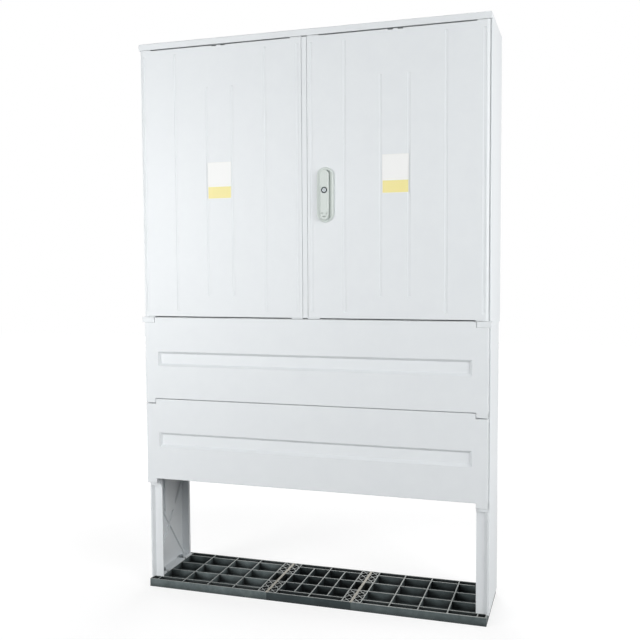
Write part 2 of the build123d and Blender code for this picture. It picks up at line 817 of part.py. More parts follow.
# Right plinth wall: an outer sheet with flanges all round, crossed braces and a raised panel inside
with BuildPart() as plinth_right_wall:
    slab(leg_face, half, leg_front, leg_back, z_plinth, z_floor)
    slab(leg_inner, half, leg_front, leg_front + leg_flange, z_plinth, z_floor)
    slab(leg_rear_inner, half, leg_back - leg_flange, leg_back, z_plinth, z_floor)
    fillet(plinth_right_wall.edges().filter_by(Axis.Z).group_by(Axis.X)[-1], wall_round)
    for low in (z_plinth, z_floor - leg_foot):
        slab(foot_inner, leg_face, leg_front, leg_back, low, low + leg_foot)
    flank = half - leg_band
    with BuildSketch(Plane.XY.offset(z_plinth)) as outline:
        Polygon(
            (leg_inner, leg_front),
            (flank, leg_front),
            (flank - leg_recess, leg_front + leg_recess),
            (leg_inner, leg_front + leg_recess),
            align=None,
        )
    extrude(outline.sketch, amount=ledge_z - z_plinth, mode=Mode.SUBTRACT)
    bay = (plinth_height - 2 * leg_foot) / brace_bays
    span = plinth_depth - 2 * leg_setback - leg_flange
    brace_angle = degrees(atan2(bay, span))
    for index in range(brace_bays):
        bay_middle = z_plinth + leg_foot + (index + 0.5) * bay
        for turn in (brace_angle, -brace_angle):
            with Locations(Location((leg_face - brace_height / 2, plinth_middle, bay_middle), (turn, 0, 0))):
                Box(brace_height, hypot(bay, span) - leg_flange, brace_width)
    slab(
        leg_face - panel_proud,
        leg_face,
        plinth_middle - panel_width / 2,
        plinth_middle + panel_width / 2,
        z_plinth + panel_low,
        z_floor,
    )
    for x, y in bolt_places:
        post(x, y, z_floor - leg_foot, z_floor, bolt_hole, Mode.SUBTRACT)
        post(x, y, z_plinth, z_plinth + leg_foot, slot_radius, Mode.SUBTRACT)
        if x > 0:
            slab(foot_inner, x, y - slot_radius, y + slot_radius, z_plinth, z_plinth + leg_foot, Mode.SUBTRACT)
            slab(
                leg_face - brace_height,
                leg_face,
                y - bolt_head - brace_width,
                y + bolt_head + brace_width,
                z_plinth + leg_foot,
                z_plinth + leg_foot + bolt_head_height + hole_play,
                Mode.SUBTRACT,
            )
    for top in front_tops:
        for z in cover_bolt_heights(top):
            peg(cover_bolt_x, z, leg_front, leg_front + leg_flange, small_hole, Mode.SUBTRACT)
    for top in rear_tops:
        for z in cover_bolt_heights(top):
            peg(cover_bolt_x, z, leg_back - leg_flange, leg_back, small_hole, Mode.SUBTRACT)
    rail_bolt_hole = rail_bolt_radius + hole_play
    peg(rail_bolt_x, rail_z, leg_back - leg_flange, leg_back, rail_bolt_hole, Mode.SUBTRACT)

with BuildPart() as plinth_left_wall:
    mirror(plinth_right_wall.part, about=Plane.YZ)


def plinth_cover(top):
    """A front cover: a sheet with turned edges, one long recess, ears below and notches above."""
    bottom = top - cover_height
    reach = cover_half
    with BuildPart() as cover:
        slab(-reach, reach, front, front + cover_skin, bottom, top)
        for side in (1, -1):
            slab(side * ear_inner, side * reach, front, front + cover_skin, bottom - ear_height, bottom)
            notch_inner = side * (ear_inner - ear_play)
            notch_low = top - ear_height - ear_play
            slab(notch_inner, side * reach, front, front + cover_skin, notch_low, top, Mode.SUBTRACT)
        fillet(cover.faces().sort_by(Axis.Y)[0].edges(), cover_round)
        edge_back = front + cover_skin + cover_edge
        for side in (1, -1):
            slab(
                side * (reach - cover_skin), side * reach, front + cover_round, edge_back, bottom, notch_low
            )
        lip = reach - cover_skin
        slab(-lip, lip, front + cover_round, edge_back, bottom, bottom + cover_skin)
        recess_z = top - recess_top - recess_height / 2
        slab(
            -recess_length / 2 - recess_backing,
            recess_length / 2 + recess_backing,
            front + cover_skin,
            front + cover_skin + recess_depth,
            recess_z - recess_height / 2 - recess_backing,
            recess_z + recess_height / 2 + recess_backing,
        )
        with BuildSketch(upright(front)) as outline:
            with Locations((0, recess_z)):
                Rectangle(recess_length, recess_height)
        extrude(outline.sketch, amount=-recess_depth, taper=recess_taper, mode=Mode.SUBTRACT)
        for side in (1, -1):
            for z in cover_bolt_heights(top):
                peg(side * cover_bolt_x, z, front + cover_skin, leg_front, cover_boss)
                peg(
                    side * cover_bolt_x,
                    z,
                    leg_front - cover_screw_depth,
                    leg_front,
                    small_radius + running_fit,
                    Mode.SUBTRACT,
                )
    return cover


def cover_screws(tops):
    """The screws that reach from inside the plinth into the bosses of the front covers."""
    with BuildPart() as screws:
        for top in tops:
            for side in (1, -1):
                for z in cover_bolt_heights(top):
                    head = leg_front + leg_flange
                    peg(side * cover_bolt_x, z, leg_front - cover_screw_depth, head, small_radius)
                    peg(side * cover_bolt_x, z, head, head + small_head_height, small_head)
    return screws


upper_front_cover = plinth_cover(front_tops[0])
lower_front_cover = plinth_cover(front_tops[1])
front_cover_screws = cover_screws(front_tops)

# Rear covers are the same pieces turned to the back, under the floor frame
turned = Plane.XZ.offset(-plinth_middle)
with BuildPart() as upper_rear_cover:
    mirror(plinth_cover(rear_tops[0]).part, about=turned)

with BuildPart() as lower_rear_cover:
    mirror(plinth_cover(rear_tops[1]).part, about=turned)

with BuildPart() as rear_cover_screws:
    mirror(cover_screws(rear_tops).part, about=turned)

# Cable rail: a lipped channel across the plinth, bolted to the rear flanges
rail_back = leg_back - leg_flange
rail_front = rail_back - rail_depth
with BuildPart() as cable_rail:
    low = rail_z - rail_height / 2
    high = rail_z + rail_height / 2
    slab(-rail_end, rail_end, rail_front, rail_back, low, high)
    slab(
        -rail_end,
        rail_end,
        rail_front + rail_sheet,
        rail_back - rail_sheet,
        low + rail_sheet,
        high - rail_sheet,
        Mode.SUBTRACT,
    )
    mouth_back = rail_front + rail_sheet
    slab(-rail_end, rail_end, rail_front, mouth_back, low + rail_lip, high - rail_lip, Mode.SUBTRACT)
    for side in (1, -1):
        peg(side * rail_bolt_x, rail_z, rail_back - rail_sheet, rail_back, rail_bolt_hole, Mode.SUBTRACT)

with BuildPart() as rail_bolts:
    for side in (1, -1):
        head = rail_back - rail_sheet
        hex_head_across(side * rail_bolt_x, rail_z, head - rail_bolt_head_height, head, rail_bolt_head)
        peg(side * rail_bolt_x, rail_z, head, leg_back + rail_bolt_head_height, rail_bolt_radius)

with BuildPart() as rail_nuts:
    for side in (1, -1):
        nut_end = leg_back + rail_bolt_head_height
        hex_head_across(side * rail_bolt_x, rail_z, leg_back, nut_end, rail_bolt_head)
        peg(side * rail_bolt_x, rail_z, leg_back, nut_end, rail_bolt_radius + running_fit, Mode.SUBTRACT)

# Rows of the base gratings, from front to back: narrow, three full rows, narrow
row_full = (base_depth - 2 * row_narrow) / 3
row_lines = [base_front + row_narrow + index * row_full for index in range(4)]
base_half = base_length / 2
strip_line = joint_x + grate_wall + truss_width


def grate_frame(x0, x1):
    """The four outer walls and the closed bottom of a grating."""
    slab(x0, x1, base_front, base_back, 0, base_height)
    slab(
        x0 + grate_wall,
        x1 - grate_wall,
        base_front + grate_wall,
        base_back - grate_wall,
        grate_floor,
        base_height,
        Mode.SUBTRACT,
    )


def rib_along(x, y0, y1):
    """A grating rib from front to back."""
    slab(x - grate_rib / 2, x + grate_rib / 2, y0, y1, 0, base_height)


def rib_across(y, x0, x1):
    """A grating rib from left to right."""
    slab(x0, x1, y - grate_rib / 2, y + grate_rib / 2, 0, base_height)


def truss(x0, x1, y0, y1):
    """Crossed webs in the strip beside a joint."""
    bay_length = (y1 - y0) / truss_bays
    turn = degrees(atan2(bay_length, x1 - x0))
    for index in range(truss_bays):
        middle = ((x0 + x1) / 2, y0 + (index + 0.5) * bay_length, base_height / 2)
        for angle in (turn, -turn):
            with Locations(Location(middle, (0, 0, angle))):
                Box(hypot(bay_length, x1 - x0), truss_web, base_height)


def joint_strip(side, wall_x, rib_x):
    """The strip with webs between a grating's joint wall and its first rib."""
    rib_along(side * rib_x, base_front, base_back)
    x0, x1 = sorted((side * wall_x, side * rib_x))
    for y in row_lines[1:3]:
        rib_across(y, x0, x1)
    truss(x0, x1, base_front + grate_wall / 2, row_lines[1])
    truss(x0, x1, row_lines[2], base_back - grate_wall / 2)


with BuildPart() as base_grate_right:
    grate_frame(joint_x, base_half)
    joint_strip(1, joint_x + grate_wall / 2, strip_line)
    column = strip_line + bay_pitch
    while column < base_half - grate_wall:
        rib_along(column, base_front, base_back)
        column += bay_pitch
    for y in row_lines:
        rib_across(y, strip_line, base_half)
    for x, y in bolt_places:
        if x > 0:
            slab(
                x - grate_boss / 2, base_half, y - grate_boss / 2, y + grate_boss / 2, 0, base_height
            )
            post(x, y, base_height - base_bolt_length, base_height, bolt_hole, Mode.SUBTRACT)

with BuildPart() as base_grate_left:
    mirror(base_grate_right.part, about=Plane.YZ)

middle_rib = joint_x - grate_wall - truss_width
with BuildPart() as base_grate_middle:
    grate_frame(-joint_x, joint_x)
    for side in (1, -1):
        joint_strip(side, joint_x - grate_wall / 2, middle_rib)
    for y in row_lines:
        rib_across(y, -middle_rib, middle_rib)
    rib_along(0, base_front, base_back)
    column_pitch = 2 * middle_rib / middle_columns
    for index in range(1, middle_columns):
        rib_along(-middle_rib + index * column_pitch, row_lines[0], row_lines[-1])

# Bolts through the cabinet's flange, the floor frame and the plinth's upper flange, with nuts below
nut_top = z_floor - leg_foot
with BuildPart() as frame_bolts:
    for x, y in bolt_places:
        hex_head(x, y, z_cabinet + wall, z_cabinet + wall + bolt_head_height, bolt_head)
        post(x, y, nut_top - nut_height - bolt_tail, z_cabinet + wall, bolt_radius)

with BuildPart() as frame_nuts:
    for x, y in bolt_places:
        hex_head(x, y, nut_top - nut_height, nut_top, bolt_head)
        post(x, y, nut_top - nut_height, nut_top, bolt_radius + running_fit, Mode.SUBTRACT)

# Bolts through the plinth's bottom flange into the gratings
with BuildPart() as base_bolts:
    for x, y in bolt_places:
        foot_top = z_plinth + leg_foot
        hex_head(x, y, foot_top, foot_top + bolt_head_height, bolt_head)
        post(x, y, base_height - base_bolt_length, foot_top, bolt_radius)

# Screws up through the side walls' upper flange into the roof
with BuildPart() as roof_screws:
    for x, y in bolt_places:
        post(x, y, z_roof - wall - small_head_height, z_roof - wall, small_head)
        post(x, y, z_roof - wall, z_roof - wall + roof_screw_length, small_radius)

pieces = {
    "roof": roof,
    "left_side_wall": left_side_wall,
    "right_side_wall": right_side_wall,
    "back_wall": back_wall,
    "back_wall_screws": back_wall_screws,
    "floor_frame": floor_frame,
    "left_door_panel": left_door_panel,
    "right_door_panel": right_door_panel,
    "closing_strip": closing_strip,
    "left_hinge_pins": left_hinge_pins,
    "right_hinge_pins": right_hinge_pins,
    "handle_escutcheon": handle_escutcheon,
    "handle_screws": handle_screws,
    "lever_hub": lever_hub,
    "lock_spindle": lock_spindle,
    "lever_pin": lever_pin,
    "lever": lever,
    "lock_cylinder": lock_cylinder,
    "lock_plug": lock_plug,
    "pinion": pinion,
    "upper_rod": upper_rod,
    "lower_rod": lower_rod,
    "lock_case": lock_case,
    "rod_guides": rod_guides,
    "left_upper_bolt": left_upper_bolt,
    "left_lower_bolt": left_lower_bolt,
    "left_bolt_guides": left_bolt_guides,
    "right_door_label": right_door_label,
    "left_door_label": left_door_label,
    "mounting_plate": mounting_plate,
    "plate_spacers": plate_spacers,
    "plate_screws": plate_screws,
    "plinth_right_wall": plinth_right_wall,
    "plinth_left_wall": plinth_left_wall,
    "upper_front_cover": upper_front_cover,
    "lower_front_cover": lower_front_cover,
    "front_cover_screws": front_cover_screws,
    "upper_rear_cover": upper_rear_cover,
    "lower_rear_cover": lower_rear_cover,
    "rear_cover_screws": rear_cover_screws,
    "cable_rail": cable_rail,
    "rail_bolts": rail_bolts,
    "rail_nuts": rail_nuts,
    "base_grate_left": base_grate_left,
    "base_grate_middle": base_grate_middle,
    "base_grate_right": base_grate_right,
    "frame_bolts": frame_bolts,
    "frame_nuts": frame_nuts,
    "base_bolts": base_bolts,
    "roof_screws": roof_screws,
}

os.makedirs("parts", exist_ok=True)
for label, piece in pieces.items():
    piece.part.label = label
    export_step(piece.part, f"parts/{label}.step")
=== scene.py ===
"""Looks of a free-standing cable distribution cabinet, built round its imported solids."""

import logging
import math
from dataclasses import dataclass
from enum import Enum
from typing import Any

import bmesh
import bpy
from mathutils import Matrix, Vector


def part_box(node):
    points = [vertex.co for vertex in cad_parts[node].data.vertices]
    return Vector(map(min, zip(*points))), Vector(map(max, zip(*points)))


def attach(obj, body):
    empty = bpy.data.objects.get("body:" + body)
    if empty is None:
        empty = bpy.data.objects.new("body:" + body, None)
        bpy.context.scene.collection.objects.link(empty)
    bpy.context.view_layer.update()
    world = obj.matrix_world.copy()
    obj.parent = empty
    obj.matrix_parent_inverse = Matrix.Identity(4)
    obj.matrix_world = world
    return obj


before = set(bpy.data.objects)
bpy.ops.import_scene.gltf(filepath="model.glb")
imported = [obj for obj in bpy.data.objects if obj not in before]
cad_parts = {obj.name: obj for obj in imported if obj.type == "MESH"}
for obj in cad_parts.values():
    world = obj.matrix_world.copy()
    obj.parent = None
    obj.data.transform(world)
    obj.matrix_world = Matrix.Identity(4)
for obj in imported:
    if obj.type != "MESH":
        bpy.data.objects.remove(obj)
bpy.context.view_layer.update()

MM = 0.001
Point = tuple[float, float, float]
log = logging.getLogger("cabinet")


def linear(code: str) -> tuple[float, float, float, float]:
    """Turns an sRGB hex colour into the linear colour that a shader takes.

    Args:
        code: Colour such as "#DDE2E4".

    Returns:
        Linear red, green and blue, and an alpha of one.
    """
    channels = []
    for start in (1, 3, 5):
        value = int(code[start:start + 2], 16) / 255
        channels.append(value / 12.92 if value <= 0.04045 else ((value + 0.055) / 1.055) ** 2.4)
    return (channels[0], channels[1], channels[2], 1.0)


def per_metre(size_mm: float) -> float:
    """Texture scale whose cells are about size_mm wide."""
    return 1.0 / (size_mm * MM)


def add(
    tree: bpy.types.NodeTree, kind: str, inputs: dict[Any, Any] | None = None, **settings: Any
) -> bpy.types.Node:
    """Adds one node with its settings and links.

    Args:
        tree: Node tree that takes the node.
        kind: Blender's name of the node type.
        inputs: Values or other nodes' output sockets, by input name or number.
        settings: Properties of the node itself.

    Returns:
        The new node.
    """
    node = tree.nodes.new(kind)
    for name, value in settings.items():
        setattr(node, name, value)
    for name, value in (inputs or {}).items():
        if isinstance(value, bpy.types.NodeSocket):
            tree.links.new(value, node.inputs[name])
        else:
            node.inputs[name].default_value = value
    return node


def blank_material(name: str) -> tuple[bpy.types.Material, bpy.types.NodeTree, bpy.types.NodeSocket]:
    """Starts a material that reads the piece's own object coordinates.

    Args:
        name: Name of the finish.

    Returns:
        The material, its empty node tree and the object coordinates.
    """
    material = bpy.data.materials.new(name)
    material.use_nodes = True
    tree = material.node_tree
    tree.nodes.clear()
    coords = add(tree, "ShaderNodeTexCoord").outputs["Object"]
    return material, tree, coords


def close_material(tree: bpy.types.NodeTree, inputs: dict[str, Any]) -> None:
    """Ends a material in one principled shader.

    Args:
        tree: Node tree of the material.
        inputs: Values or sockets of the shader.
    """
    shader = add(tree, "ShaderNodeBsdfPrincipled", inputs)
    add(tree, "ShaderNodeOutputMaterial", {"Surface": shader.outputs["BSDF"]})


@dataclass(frozen=True)
class PressedPolyester:
    """Glass-fibre polyester, hot pressed in a polished tool.

    It gives the eye a pale, even, slightly cool grey with a silky sheen. The glass makes faint clouds in the
    colour, the tool leaves a fine grain, edges are painted a little paler as rubbed wear and a painted
    highlight, and creases and narrow gaps carry painted shade.
    """

    name: str = "pressed_glass_polyester"
    pale: str = "#E0E4E6"
    deep: str = "#DADEE1"
    # painted shade: colour that creases and narrow gaps are darkened towards
    crease_shade: str = "#9BA1A1"
    # pale edge colour: a little rubbed wear and a painted highlight
    rub_and_edge_highlight: str = "#EEF1F1"
    cloud_mm: float = 55.0
    grain_mm: float = 1.4  # real grain is about 0.3 mm, drawn coarser so that it shows
    grain_depth_mm: float = 0.3
    wave_mm: float = 90.0
    wave_depth_mm: float = 4.0
    crease_shade_mm: float = 9.0
    crease_shade_share: float = 0.4
    edge_mm: float = 2.0
    rub_and_highlight_share: float = 0.5
    roughness_low: float = 0.41
    roughness_high: float = 0.53
    ior: float = 1.52

    def build(self) -> bpy.types.Material:
        """Makes the material."""
        material, tree, coords = blank_material(self.name)
        cloud = add(
            tree,
            "ShaderNodeTexNoise",
            {"Vector": coords, "Scale": per_metre(self.cloud_mm), "Detail": 5.0, "Roughness": 0.6},
        )
        tone = add(
            tree,
            "ShaderNodeMix",
            {"Factor": cloud.outputs["Fac"], "A": linear(self.deep), "B": linear(self.pale)},
            data_type="RGBA",
        )
        # painted shade: occlusion darkens creases and narrow gaps towards the crease shade colour
        shade_occlusion = add(tree, "ShaderNodeAmbientOcclusion", {"Distance": self.crease_shade_mm * MM}, samples=6)
        shade = add(
            tree,
            "ShaderNodeMapRange",
            {"Value": shade_occlusion.outputs["AO"], "From Min": 0.5, "From Max": 0.15, "To Max": self.crease_shade_share},
        )
        crease_shaded = add(
            tree,
            "ShaderNodeMix",
            {"Factor": shade.outputs["Result"], "A": tone.outputs[2], "B": linear(self.crease_shade)},
            data_type="RGBA",
        )
        # painted highlight with a little rubbed wear: occlusion from inside lightens the outer edges
        rim = add(tree, "ShaderNodeAmbientOcclusion", {"Distance": self.edge_mm * MM}, samples=6, inside=True)
        rub_and_highlight_mask = add(
            tree,
            "ShaderNodeMapRange",
            {"Value": rim.outputs["AO"], "From Min": 0.75, "From Max": 0.45, "To Max": self.rub_and_highlight_share},
        )
        worn = add(
            tree,
            "ShaderNodeMix",
            {"Factor": rub_and_highlight_mask.outputs["Result"], "A": crease_shaded.outputs[2], "B": linear(self.rub_and_edge_highlight)},
            data_type="RGBA",
        )
        sheen = add(
            tree,
            "ShaderNodeMapRange",
            {"Value": cloud.outputs["Fac"], "To Min": self.roughness_low, "To Max": self.roughness_high},
        )
        grain = add(
            tree, "ShaderNodeTexNoise", {"Vector": coords, "Scale": per_metre(self.grain_mm), "Detail": 2.0}
        )
        wave = add(
            tree, "ShaderNodeTexNoise", {"Vector": coords, "Scale": per_metre(self.wave_mm), "Detail": 1.0}
        )
        flow = add(
            tree,
            "ShaderNodeBump",
            {"Height": wave.outputs["Fac"], "Strength": 0.05, "Distance": self.wave_depth_mm * MM},
        )
        fine = add(
            tree,
            "ShaderNodeBump",
            {
                "Height": grain.outputs["Fac"],
                "Strength": 0.06,
                "Distance": self.grain_depth_mm * MM,
                "Normal": flow.outputs["Normal"],
            },
        )
        close_material(
            tree,
            {
                "Base Color": worn.outputs[2],
                "Roughness": sheen.outputs["Result"],
                "Normal": fine.outputs["Normal"],
                "IOR": self.ior,
            },
        )
        return material


@dataclass(frozen=True)
class FilledNylon:
    """Glass-filled nylon, moulded in a spark-eroded tool.

    It gives the eye a dull, finely pebbled skin with small flecks of glass.
    """

    name: str
    tone: str
    fleck: str
    pebble_mm: float = 1.2  # real pebble is about 0.4 mm, drawn coarser so that it shows
    pebble_depth_mm: float = 0.3
    fleck_mm: float = 2.5
    fleck_share: float = 0.6
    roughness_low: float = 0.45
    roughness_high: float = 0.65
    ior: float = 1.53

    def build(self) -> bpy.types.Material:
        """Makes the material."""
        material, tree, coords = blank_material(self.name)
        speck = add(
            tree,
            "ShaderNodeTexNoise",
            {"Vector": coords, "Scale": per_metre(self.fleck_mm), "Detail": 6.0, "Roughness": 0.7},
        )
        share = add(
            tree,
            "ShaderNodeMapRange",
            {"Value": speck.outputs["Fac"], "From Min": 0.35, "From Max": 0.75, "To Max": self.fleck_share},
        )
        colour = add(
            tree,
            "ShaderNodeMix",
            {"Factor": share.outputs["Result"], "A": linear(self.tone), "B": linear(self.fleck)},
            data_type="RGBA",
        )
        pebble = add(tree, "ShaderNodeTexVoronoi", {"Vector": coords, "Scale": per_metre(self.pebble_mm)})
        skin = add(
            tree,
            "ShaderNodeBump",
            {"Height": pebble.outputs["Distance"], "Strength": 0.18, "Distance": self.pebble_depth_mm * MM},
        )
        gloss = add(
            tree,
            "ShaderNodeMapRange",
            {"Value": speck.outputs["Fac"], "To Min": self.roughness_low, "To Max": self.roughness_high},
        )
        close_material(
            tree,
            {
                "Base Color": colour.outputs[2],
                "Roughness": gloss.outputs["Result"],
                "Normal": skin.outputs["Normal"],
                "IOR": self.ior,
            },
        )
        return material


class DrawnAlong(Enum):
    """Direction in which a bar or a fastener was drawn, as the number of its coordinate."""

    DEPTH = 1
    HEIGHT = 2


@dataclass(frozen=True)
class ZincPlatedSteel:
    """Drawn steel, plated bright with zinc.

    It gives the eye a cool grey metal with fine drawing lines along the bar and dull handling marks.
    """

    name: str
    drawn_along: DrawnAlong
    tone: str = "#B4B8BB"
    dull: str = "#8F9498"
    line_mm: float = 1.2  # real lines are much finer, drawn coarser so that they show
    line_depth_mm: float = 0.2
    stretch: float = 30.0
    mark_mm: float = 18.0
    roughness_low: float = 0.24
    roughness_high: float = 0.46

    def build(self) -> bpy.types.Material:
        """Makes the material."""
        material, tree, coords = blank_material(self.name)
        scale = [1.0, 1.0, 1.0]
        scale[self.drawn_along.value] = 1.0 / self.stretch
        drawn = add(tree, "ShaderNodeMapping", {"Vector": coords, "Scale": scale})
        lines = add(
            tree,
            "ShaderNodeTexNoise",
            {"Vector": drawn.outputs["Vector"], "Scale": per_metre(self.line_mm), "Detail": 3.0},
        )
        marks = add(
            tree, "ShaderNodeTexNoise", {"Vector": coords, "Scale": per_metre(self.mark_mm), "Detail": 4.0}
        )
        colour = add(
            tree,
            "ShaderNodeMix",
            {"Factor": marks.outputs["Fac"], "A": linear(self.dull), "B": linear(self.tone)},
            data_type="RGBA",
        )
        gloss = add(
            tree,
            "ShaderNodeMapRange",
            {"Value": lines.outputs["Fac"], "To Min": self.roughness_low, "To Max": self.roughness_high},
        )
        skin = add(
            tree,
            "ShaderNodeBump",
            {"Height": lines.outputs["Fac"], "Strength": 0.08, "Distance": self.line_depth_mm * MM},
        )
        close_material(
            tree,
            {
                "Base Color": colour.outputs[2],
                "Metallic": 1.0,
                "Roughness": gloss.outputs["Result"],
                "Normal": skin.outputs["Normal"],
            },
        )
        return material


@dataclass(frozen=True)
class GalvanisedSheet:
    """Steel sheet, dipped in hot zinc.

    It gives the eye a pale metal broken into angular spangles of slightly different grey and gloss.
    """

    name: str = "hot_dip_galvanised_sheet"
    pale: str = "#A9AEB1"
    deep: str = "#81878B"
    spangle_mm: float = 14.0
    spangle_depth_mm: float = 0.3
    stain_mm: float = 120.0
    roughness_low: float = 0.5
    roughness_high: float = 0.66

    def build(self) -> bpy.types.Material:
        """Makes the material."""
        material, tree, coords = blank_material(self.name)
        spangle = add(tree, "ShaderNodeTexVoronoi", {"Vector": coords, "Scale": per_metre(self.spangle_mm)})
        facet = add(tree, "ShaderNodeSeparateColor", {"Color": spangle.outputs["Color"]})
        stain = add(
            tree, "ShaderNodeTexNoise", {"Vector": coords, "Scale": per_metre(self.stain_mm), "Detail": 3.0}
        )
        shade = add(
            tree,
            "ShaderNodeMath",
            {0: facet.outputs["Red"], 1: stain.outputs["Fac"]},
            operation="MULTIPLY",
        )
        colour = add(
            tree,
            "ShaderNodeMix",
            {"Factor": shade.outputs["Value"], "A": linear(self.pale), "B": linear(self.deep)},
            data_type="RGBA",
        )
        gloss = add(
            tree,
            "ShaderNodeMapRange",
            {"Value": facet.outputs["Green"], "To Min": self.roughness_low, "To Max": self.roughness_high},
        )
        skin = add(
            tree,
            "ShaderNodeBump",
            {"Height": spangle.outputs["Distance"], "Strength": 0.04, "Distance": self.spangle_depth_mm * MM},
        )
        close_material(
            tree,
            {
                "Base Color": colour.outputs[2],
                "Metallic": 1.0,
                "Roughness": gloss.outputs["Result"],
                "Normal": skin.outputs["Normal"],
            },
        )
        return material


@dataclass(frozen=True)
class SatinChrome:
    """Brass, turned and plated with satin chrome.

    It gives the eye a clean metal with a faint smear of fingerprints, bright on the plug; the ring round it
    is given a dark tone that paints in dark reflections.
    """

    name: str
    tone: str
    smeared: str
    smear_mm: float = 6.0
    roughness_low: float = 0.24
    roughness_high: float = 0.4

    def build(self) -> bpy.types.Material:
        """Makes the material."""
        material, tree, coords = blank_material(self.name)
        smear = add(
            tree, "ShaderNodeTexNoise", {"Vector": coords, "Scale": per_metre(self.smear_mm), "Detail": 3.0}
        )
        gloss = add(
            tree,
            "ShaderNodeMapRange",
            {"Value": smear.outputs["Fac"], "To Min": self.roughness_low, "To Max": self.roughness_high},
        )
        colour = add(
            tree,
            "ShaderNodeMix",
            {"Factor": smear.outputs["Fac"], "A": linear(self.tone), "B": linear(self.smeared)},
            data_type="RGBA",
        )
        close_material(
            tree,
            {"Base Color": colour.outputs[2], "Metallic": 1.0, "Roughness": gloss.outputs["Result"]},
        )
        return material


@dataclass(frozen=True)
class RecycledPlastic:
    """Recycled plastic, moulded thick and left as it comes.

    It gives the eye a charcoal grey with paler flow clouds. Rib tops are painted pale in patches as a
    highlight, with a dusty beige at the joints between gratings, and the cells are painted near black as
    shade.
    """

    name: str
    dark: str
    grey: str
    # painted highlight on the rib tops
    top_highlight: str
    top_mm: float
    joint_mm: float  # from the middle of the base to the joint between two gratings
    joint_reach_mm: float = 4.3
    # beige dust tone at the joints, shown only inside the painted top highlight
    joint_dust_and_highlight: str = "#A5A093"
    # painted shade: near-black colour that the cells are darkened towards
    cell_shade: str = "#0E1213"
    cell_shade_share: float = 0.95
    cell_shade_mm: float = 45.0
    cloud_mm: float = 40.0
    fleck_mm: float = 5.0
    fleck_depth_mm: float = 0.6
    top_highlight_band_mm: float = 0.5
    top_highlight_share_low: float = 0.45
    roughness_low: float = 0.5
    roughness_high: float = 0.75
    ior: float = 1.5
    gloss_level: float = 0.3

    def build(self) -> bpy.types.Material:
        """Makes the material."""
        material, tree, coords = blank_material(self.name)
        cloud = add(
            tree,
            "ShaderNodeTexNoise",
            {"Vector": coords, "Scale": per_metre(self.cloud_mm), "Detail": 6.0, "Roughness": 0.65},
        )
        flow = add(
            tree, "ShaderNodeMapRange", {"Value": cloud.outputs["Fac"], "From Min": 0.3, "From Max": 0.7}
        )
        base = add(
            tree,
            "ShaderNodeMix",
            {"Factor": flow.outputs["Result"], "A": linear(self.dark), "B": linear(self.grey)},
            data_type="RGBA",
        )
        # painted shade: occlusion darkens the cells towards near black
        shade_occlusion = add(tree, "ShaderNodeAmbientOcclusion", {"Distance": self.cell_shade_mm * MM}, samples=8)
        cell_shade_amount = add(
            tree,
            "ShaderNodeMapRange",
            {"Value": shade_occlusion.outputs["AO"], "From Min": 0.8, "From Max": 0.42, "To Max": self.cell_shade_share},
        )
        cell_shaded = add(
            tree,
            "ShaderNodeMix",
            {"Factor": cell_shade_amount.outputs["Result"], "A": base.outputs[2], "B": linear(self.cell_shade)},
            data_type="RGBA",
        )
        place = add(tree, "ShaderNodeSeparateXYZ", {"Vector": coords})
        fleck = add(
            tree,
            "ShaderNodeTexNoise",
            {"Vector": coords, "Scale": per_metre(self.fleck_mm), "Detail": 4.0, "Roughness": 0.8},
        )
        side = add(tree, "ShaderNodeMath", {0: place.outputs["X"]}, operation="ABSOLUTE")
        joint = add(
            tree,
            "ShaderNodeMath",
            {0: side.outputs["Value"], 1: self.joint_mm * MM, 2: self.joint_reach_mm * MM},
            operation="COMPARE",
        )
        top_highlight_tone = add(
            tree,
            "ShaderNodeMix",
            {"Factor": joint.outputs["Value"], "A": linear(self.top_highlight), "B": linear(self.joint_dust_and_highlight)},
            data_type="RGBA",
        )
        # painted highlight: faces within the top band are lightened in patches, beige at the joints
        top = add(
            tree,
            "ShaderNodeMath",
            {0: place.outputs["Z"], 1: (self.top_mm - self.top_highlight_band_mm) * MM},
            operation="GREATER_THAN",
        )
        patch = add(
            tree,
            "ShaderNodeMapRange",
            {"Value": fleck.outputs["Fac"], "From Min": 0.25, "From Max": 0.6, "To Min": self.top_highlight_share_low},
        )
        share = add(
            tree,
            "ShaderNodeMath",
            {0: top.outputs["Value"], 1: patch.outputs["Result"]},
            operation="MULTIPLY",
        )
        colour = add(
            tree,
            "ShaderNodeMix",
            {"Factor": share.outputs["Value"], "A": cell_shaded.outputs[2], "B": top_highlight_tone.outputs[2]},
            data_type="RGBA",
        )
        gloss = add(
            tree,
            "ShaderNodeMapRange",
            {"Value": fleck.outputs["Fac"], "To Min": self.roughness_low, "To Max": self.roughness_high},
        )
        skin = add(
            tree,
            "ShaderNodeBump",
            {"Height": fleck.outputs["Fac"], "Strength": 0.2, "Distance": self.fleck_depth_mm * MM},
        )
        close_material(
            tree,
            {
                "Base Color": colour.outputs[2],
                "Roughness": gloss.outputs["Result"],
                "Normal": skin.outputs["Normal"],
                "IOR": self.ior,
                "Specular IOR Level": self.gloss_level,
            },
        )
        return material


